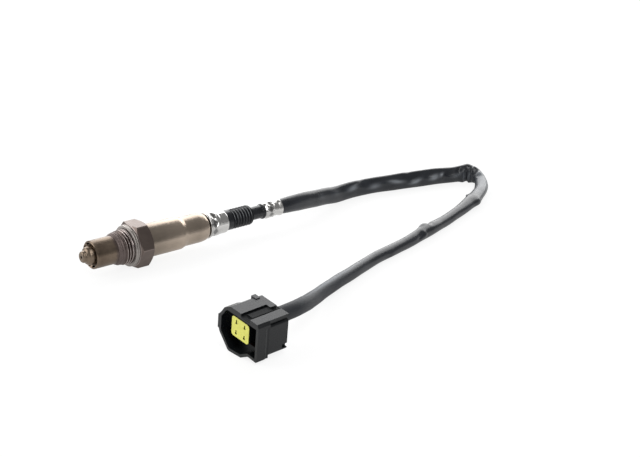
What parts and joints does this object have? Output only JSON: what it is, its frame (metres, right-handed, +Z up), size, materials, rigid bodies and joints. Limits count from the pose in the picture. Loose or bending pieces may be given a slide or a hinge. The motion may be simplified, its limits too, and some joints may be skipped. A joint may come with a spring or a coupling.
{
  "type": "oxygen sensor",
  "caption": "Heated exhaust oxygen sensor: threaded hex body with slotted nose, stepped shell, ribbed boot and crimp collars, and a sleeved lead ending in a locking plug connector.",
  "frame": {"origin": "on the sensor's axis, at the middle of the full thread", "axes": "+X along the thread's axis towards the measuring nose, the way the sensor goes into its boss; +Z up, square to the hexagon flat that the sensor lies on; +Y to the side where the connector lies"},
  "size_m": [0.2617, 0.159, 0.025],
  "materials": {
    "housing_steel": "heat-darkened",
    "gasket_steel": "dull",
    "heat_tinted_steel": "satin, bronze heat tint",
    "element_ceramic": "matte",
    "support_ceramic": "matte",
    "talc": "pressed powder",
    "collar_steel": "bright",
    "contact_metal": "plated",
    "white_lead": "smooth",
    "black_lead": "smooth",
    "grey_lead": "smooth",
    "seal_rubber": "matte",
    "boot_rubber": "matte",
    "sleeve_rubber": "satin",
    "connector_plastic": "moulded",
    "insert_plastic": "moulded"
  },
  "bodies": {
    "root": {"sensor_housing": "housing_steel", "gasket_ring": "gasket_steel", "outer_protection_tube": "heat_tinted_steel", "inner_protection_tube": "heat_tinted_steel", "sensing_element": "element_ceramic", "lower_ceramic_support": "support_ceramic", "talc_packing": "talc", "upper_ceramic_bush": "support_ceramic", "compression_ring": "housing_steel", "contact_holder_upper": "support_ceramic", "contact_holder_lower": "support_ceramic", "holder_clamp": "collar_steel", "contact_springs": "contact_metal", "heater_leads": "white_lead", "signal_lead": "black_lead", "ground_lead": "grey_lead", "wire_grommet": "seal_rubber", "upper_shell": "heat_tinted_steel", "strain_relief_boot": "boot_rubber", "front_crimp_collar": "collar_steel", "rear_crimp_collar": "collar_steel", "cable_sleeve": "sleeve_rubber", "connector_housing": "connector_plastic", "connector_insert": "insert_plastic", "connector_terminals": "contact_metal", "interface_seal": "seal_rubber", "wire_seals": "seal_rubber", "connector_rear_cover": "connector_plastic"}
  },
  "joints": []
}
